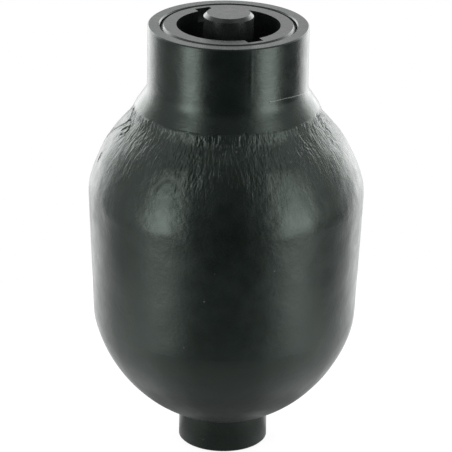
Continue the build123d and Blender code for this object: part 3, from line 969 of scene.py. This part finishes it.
# ---- materials of the other pieces ----
BLACK_STEEL = turned_metal(
    "phosphated_steel", (0.0055, 0.0070, 0.0064), (0.0095, 0.0115, 0.0105), 0.30, grooves=3200, depth=0.02
)
CAP_BLACK = turned_metal(
    "cap_enamel", (0.0075, 0.0090, 0.0082), (0.0125, 0.0145, 0.0135), 0.29, grooves=3200, depth=0.015
)
BARE_STEEL = turned_metal("plain_steel", (0.42, 0.42, 0.41), (0.56, 0.56, 0.55), 0.32, 1.0)
BRASS = turned_metal("valve_brass", (0.60, 0.44, 0.18), (0.74, 0.56, 0.26), 0.28, 1.0)
SPRING_STEEL = turned_metal("spring_steel", (0.50, 0.50, 0.49), (0.62, 0.62, 0.61), 0.25, 1.0)
SEAL_RUBBER = rubber("seal_rubber", (0.014, 0.014, 0.014), (0.024, 0.024, 0.024), 0.5)
BLADDER_RUBBER = rubber("bladder_rubber", (0.016, 0.016, 0.016), (0.034, 0.034, 0.033), 0.62)
SEAL_PLASTIC = rubber("seal_plastic", (0.70, 0.69, 0.65), (0.82, 0.81, 0.77), 0.45)
FINISHES = {
    "phosphated_steel": BLACK_STEEL,
    "cap_enamel": CAP_BLACK,
    "plain_steel": BARE_STEEL,
    "valve_brass": BRASS,
    "spring_steel": SPRING_STEEL,
    "seal_rubber": SEAL_RUBBER,
    "bladder_rubber": BLADDER_RUBBER,
    "seal_plastic": SEAL_PLASTIC,
    "vessel_enamel": vessel.data.materials[0],
}
for part in frame["record"]["subparts"]:
    dressed(part["node"], FINISHES[part["material_slot"]])


# ---- floor, light and camera ----
def bearing_of(nodes, place):
    """The bearing of a place or direction, in degrees from the camera's side."""
    split = nodes.node("ShaderNodeSeparateXYZ")
    nodes.link(nodes.vector("NORMALIZE", nodes.vector("MULTIPLY", place, (1, 1, 0))), split.inputs["Vector"])
    turn = nodes.maths("ARCCOSINE", nodes.maths("MULTIPLY", split.outputs["Y"], -1.0))
    return nodes.maths("MULTIPLY", turn, 180 / math.pi), split.outputs["X"]


def room(nodes, bearing, levels):
    """The level that the studio sends from a bearing."""
    stops = [(degrees / 180, level) for degrees, level in levels]
    return nodes.level(nodes.maths("DIVIDE", bearing, 180.0), stops, ease=True)


def shadow_gap(nodes, direction, bearing, right):
    """1 in the dark gap between the table's far edge and the lamps, on the right, and 0 elsewhere."""
    split = nodes.node("ShaderNodeSeparateXYZ")
    nodes.link(direction, split.inputs["Vector"])
    rise = nodes.maths("ABSOLUTE", nodes.maths("ADD", split.outputs["Z"], GAP_DROP))
    band = nodes.spread(rise, *GAP_HALF_HEIGHT, smooth=True)
    side = nodes.maths("ABSOLUTE", nodes.maths("SUBTRACT", bearing, GAP_BEARING))
    there = nodes.maths("MULTIPLY", band, nodes.spread(side, *GAP_HALF_WIDTH, smooth=True))
    darkness = nodes.spread(right, -GAP_TURN, GAP_TURN, *GAP_DARKNESS, smooth=True)
    return nodes.maths("MULTIPLY", there, darkness)


def table_top():
    """The round table, with its face at height 0."""
    table = Lathe()
    table.ring(TABLE_R, 0, TABLE_SIDES, corner=True)
    table.ring(TABLE_R, -TABLE_THICK, TABLE_SIDES, corner=True)
    table.faces = [tuple(reversed(face)) for face in table.faces]
    table.capped(0, 0)
    table.capped(1, -TABLE_THICK, outward_last=False)
    return table.piece("floor")


def studio_floor():
    """A white table that keeps the object's soft shadow.

    What shiny surfaces mirror of it follows the bearing, and is darker round the port on the camera's side.
    """
    floor = table_top()
    material = bpy.data.materials.new("floor_white")
    material.use_nodes = True
    material.node_tree.nodes.clear()
    nodes = Nodes(material.node_tree)
    diffuse = nodes.node("ShaderNodeBsdfDiffuse")
    diffuse.inputs["Color"].default_value = (FLOOR_COLOUR, FLOOR_COLOUR, FLOOR_COLOUR, 1)
    rays = nodes.node("ShaderNodeLightPath")
    place = nodes.node("ShaderNodeTexCoord").outputs["Object"]
    bearing, _ = bearing_of(nodes, place)
    reach = nodes.vector("LENGTH", place)
    close = room(nodes, bearing, NEAR_FLOOR)
    far = nodes.maths("MULTIPLY", room(nodes, bearing, ROOM), FAR_FLOOR_GAIN)
    share = nodes.spread(reach, *in_metres(FLOOR_BLEND), smooth=True)
    apart = nodes.maths("MULTIPLY", nodes.maths("SUBTRACT", far, close), share)
    mirrored = nodes.maths("MULTIPLY", nodes.maths("ADD", close, apart), rays.outputs["Is Glossy Ray"])
    by_port = nodes.level(nodes.maths("DIVIDE", reach, PORT_SHADE_REACH * MM), PORT_SHADE, ease=True)
    by_port = nodes.maths("MAXIMUM", by_port, nodes.spread(bearing, *PORT_SHADE_GONE, smooth=True))
    mirrored = nodes.maths("MULTIPLY", mirrored, by_port)
    glow = nodes.node("ShaderNodeEmission")
    seen = nodes.maths("MULTIPLY", rays.outputs["Is Camera Ray"], FLOOR_GLOW)
    nodes.link(nodes.maths("ADD", seen, mirrored), glow.inputs["Strength"])
    both = nodes.node("ShaderNodeAddShader")
    out = nodes.node("ShaderNodeOutputMaterial")
    nodes.link(diffuse.outputs[0], both.inputs[0])
    nodes.link(glow.outputs[0], both.inputs[1])
    nodes.link(both.outputs[0], out.inputs["Surface"])
    floor.data.materials.append(material)


def studio_world():
    """White to the camera, the room's pattern to shiny surfaces and one even level to matt ones."""
    world = bpy.data.worlds.new("studio")
    bpy.context.scene.world = world
    world.use_nodes = True
    world.node_tree.nodes.clear()
    nodes = Nodes(world.node_tree)
    direction = nodes.node("ShaderNodeTexCoord").outputs["Generated"]
    rays = nodes.node("ShaderNodeLightPath")
    bearing, right = bearing_of(nodes, direction)
    lit = nodes.maths("SUBTRACT", 1.0, shadow_gap(nodes, direction, bearing, right))
    split = nodes.node("ShaderNodeSeparateXYZ")
    nodes.link(direction, split.inputs["Vector"])
    overhead = nodes.spread(split.outputs["Z"], *OVERHEAD_RISE, 0.0, OVERHEAD_LEVEL)
    pattern = nodes.maths("MAXIMUM", nodes.maths("MULTIPLY", room(nodes, bearing, ROOM), lit), overhead)
    apart = nodes.maths("SUBTRACT", pattern, WORLD_LEVEL)
    mirrored = nodes.maths("MULTIPLY", apart, rays.outputs["Is Glossy Ray"])
    level = nodes.maths("MAXIMUM", nodes.maths("ADD", mirrored, WORLD_LEVEL), rays.outputs["Is Camera Ray"])
    glow = nodes.node("ShaderNodeBackground")
    glow.inputs["Color"].default_value = (1, 1, 1, 1)
    nodes.link(level, glow.inputs["Strength"])
    out = nodes.node("ShaderNodeOutputWorld")
    nodes.link(glow.outputs[0], out.inputs["Surface"])


def softbox(name, bearing, distance, width, level, profile):
    """An upright lamp facing the vessel, fading at its sides. Bearing 0 is the camera's side.

    profile holds (height in metres, share of the level) from its bottom to its top.
    """
    a = math.radians(bearing)
    away = Vector((math.sin(a), -math.cos(a), 0))
    bottom, top = profile[0][0], profile[-1][0]
    lamp = bpy.data.lights.new(name, "AREA")
    lamp.shape = "RECTANGLE"
    lamp.size, lamp.size_y = width, top - bottom
    lamp.energy = level * math.pi * width * (top - bottom)
    lamp.use_nodes = True
    nodes = Nodes(lamp.node_tree)
    split = nodes.node("ShaderNodeSeparateXYZ")
    nodes.link(nodes.node("ShaderNodeNewGeometry").outputs["Parametric"], split.inputs["Vector"])
    stops = [((z - bottom) / (top - bottom), share) for z, share in profile]
    left_fade = nodes.spread(split.outputs["X"], 0.0, SOFT_EDGE, smooth=True)
    right_fade = nodes.spread(split.outputs["X"], 1.0, 1.0 - SOFT_EDGE, smooth=True)
    sides = nodes.maths("MULTIPLY", left_fade, right_fade)
    strength = nodes.maths("MULTIPLY", sides, nodes.level(split.outputs["Y"], stops))
    nodes.link(strength, lamp.node_tree.nodes["Emission"].inputs["Strength"])
    thing = bpy.data.objects.new(name, lamp)
    thing.location = away * distance + Vector((0, 0, (bottom + top) / 2))
    thing.rotation_euler = away.to_track_quat("Z", "Y").to_euler()
    bpy.context.scene.collection.objects.link(thing)


def photo_camera():
    """A long lens, a little above the shoulder, with the vessel leaning slightly right in the frame."""
    location = Vector((0, -1.2598, 0.5966))
    target = Vector((0.0002, 0, 0.0987))
    view_angle = 8.244
    roll = 0.0150
    ahead = (target - location).normalized()
    right = ahead.cross(Vector((0, 0, 1))).normalized()
    up = right.cross(ahead)
    camera_x = math.cos(roll) * right + math.sin(roll) * up
    camera_y = -math.sin(roll) * right + math.cos(roll) * up
    camera = bpy.data.objects.new("camera", bpy.data.cameras.new("camera"))
    camera.data.angle = math.radians(view_angle)
    camera.data.clip_start = 0.05
    axes = Matrix((camera_x, camera_y, -ahead)).transposed()
    camera.matrix_world = Matrix.Translation(location) @ axes.to_4x4()
    bpy.context.scene.collection.objects.link(camera)
    bpy.context.scene.camera = camera


studio_floor()
studio_world()
softbox("left_softbox", bearing=-53, distance=1.4, width=0.84, level=5.3, profile=LEFT_STRIP)
softbox("right_softbox", bearing=59, distance=1.4, width=1.04, level=4.35, profile=RIGHT_STRIP)
softbox("left_rim_softbox", bearing=-143, distance=1.5, width=1.45, level=3.8, profile=LEFT_RIM)
softbox("right_rim_softbox", bearing=143, distance=1.5, width=1.45, level=4.1, profile=RIGHT_RIM)
photo_camera()
bpy.context.scene.view_settings.view_transform = "Standard"
